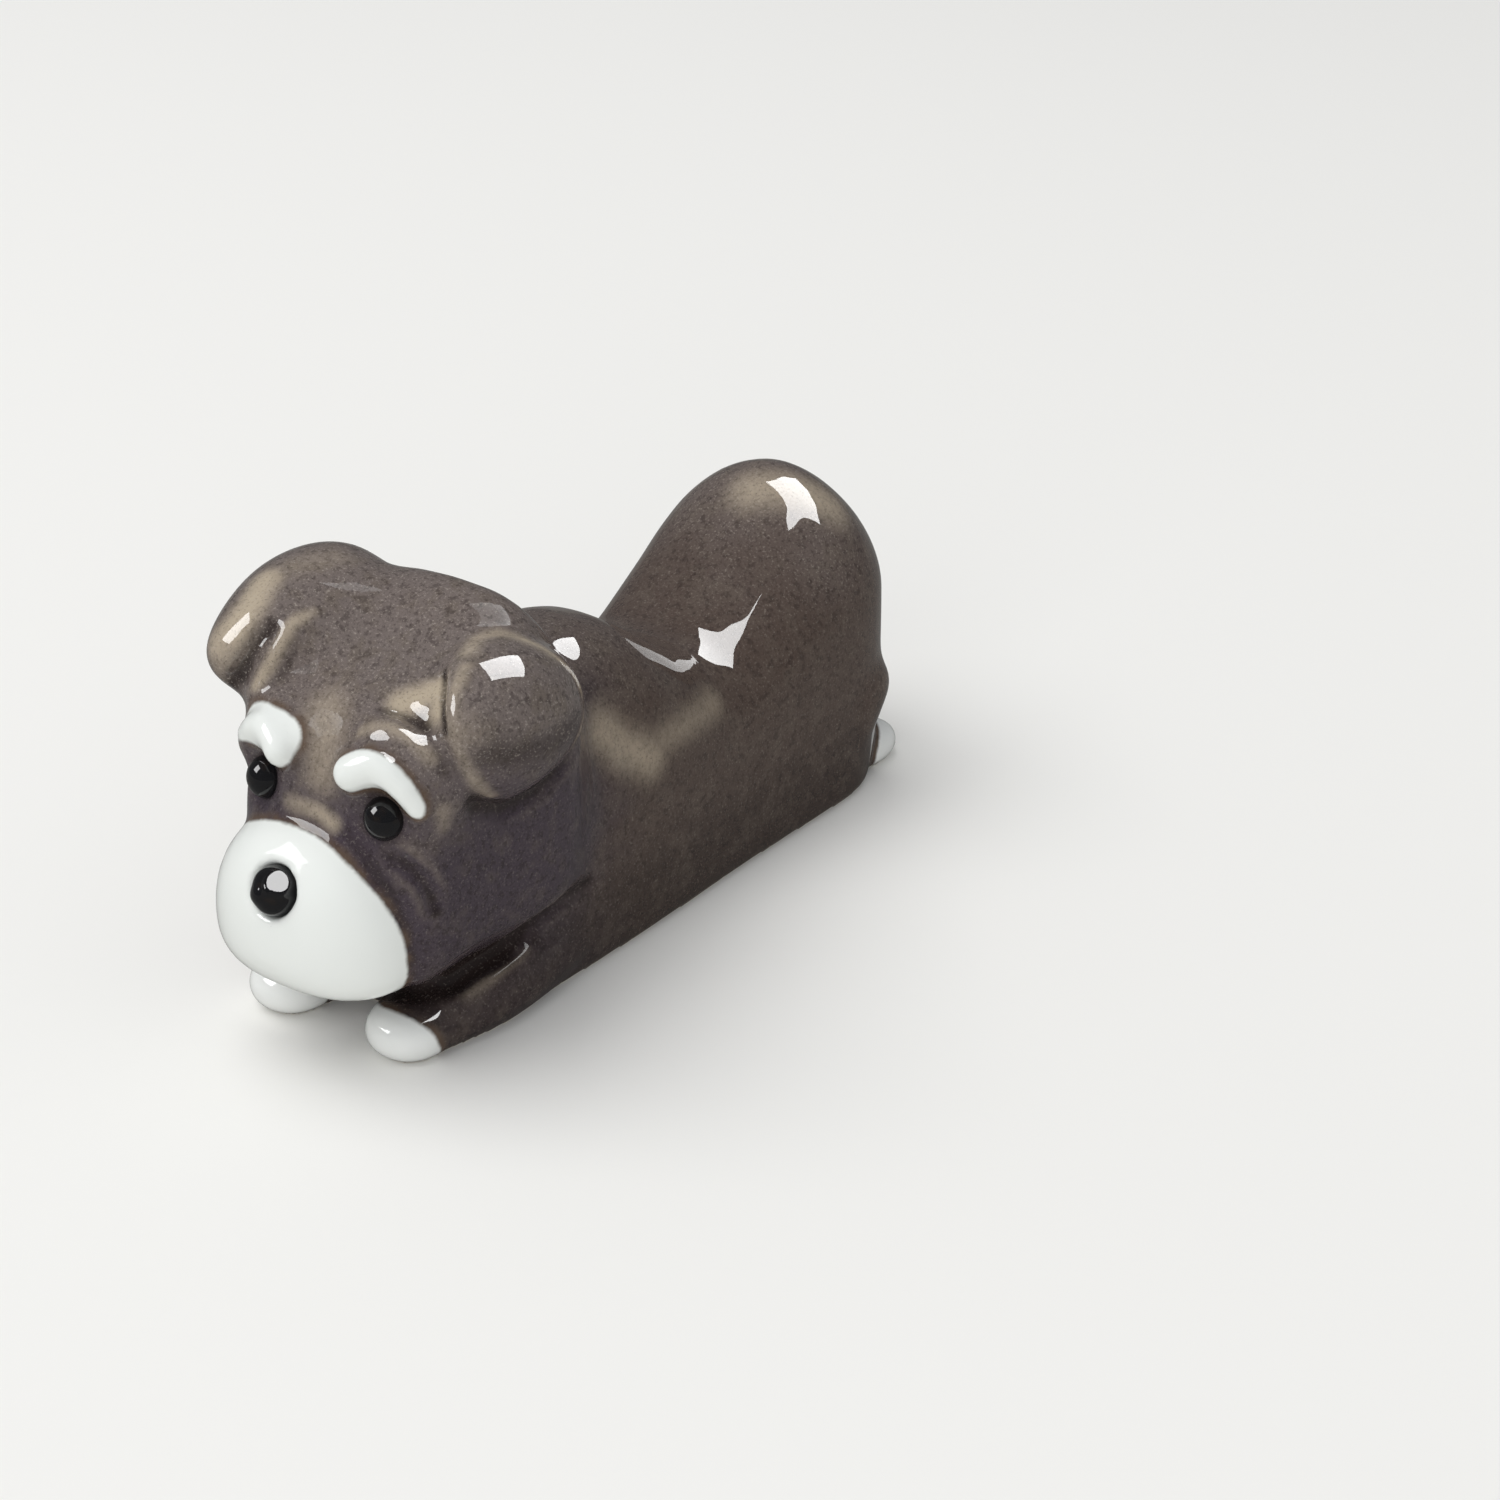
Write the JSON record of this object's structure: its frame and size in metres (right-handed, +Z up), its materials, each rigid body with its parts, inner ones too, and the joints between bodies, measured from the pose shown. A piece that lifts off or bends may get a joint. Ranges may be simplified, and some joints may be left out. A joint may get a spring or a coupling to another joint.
{
  "type": "chopstick rest",
  "caption": "Glazed ceramic table rest in the form of a lying schnauzer; the low back between the raised head and rump holds the tips of chopsticks.",
  "frame": {"origin": "on the flat foot, below the middle of the length and in the dog's own middle plane", "axes": "+Z up from the table, +Y from the face to the rump, +X towards the dog's left"},
  "size_m": [0.0206, 0.054, 0.0255],
  "materials": {
    "grey_glaze": "glossy grey-brown glaze with fine dark and light specks, lighter and warmer where it thins over edges",
    "white_glaze": "glossy opaque white glaze",
    "thin_white_glaze": "glossy grey-white glaze, thin over the clay",
    "black_glaze": "glossy black glaze"
  },
  "bodies": {
    "root": {"torso": "grey_glaze", "head": "grey_glaze", "muzzle": "white_glaze", "nose": "black_glaze", "eye_left": "black_glaze", "eye_right": "black_glaze", "brow_left": "white_glaze", "brow_right": "white_glaze", "ear_left": "grey_glaze", "ear_right": "grey_glaze", "foreleg_left": "grey_glaze", "foreleg_right": "grey_glaze", "forepaw_left": "thin_white_glaze", "forepaw_right": "thin_white_glaze", "thigh_left": "grey_glaze", "thigh_right": "grey_glaze", "hind_paw_left": "thin_white_glaze", "hind_paw_right": "thin_white_glaze", "tail": "grey_glaze"}
  },
  "joints": []
}
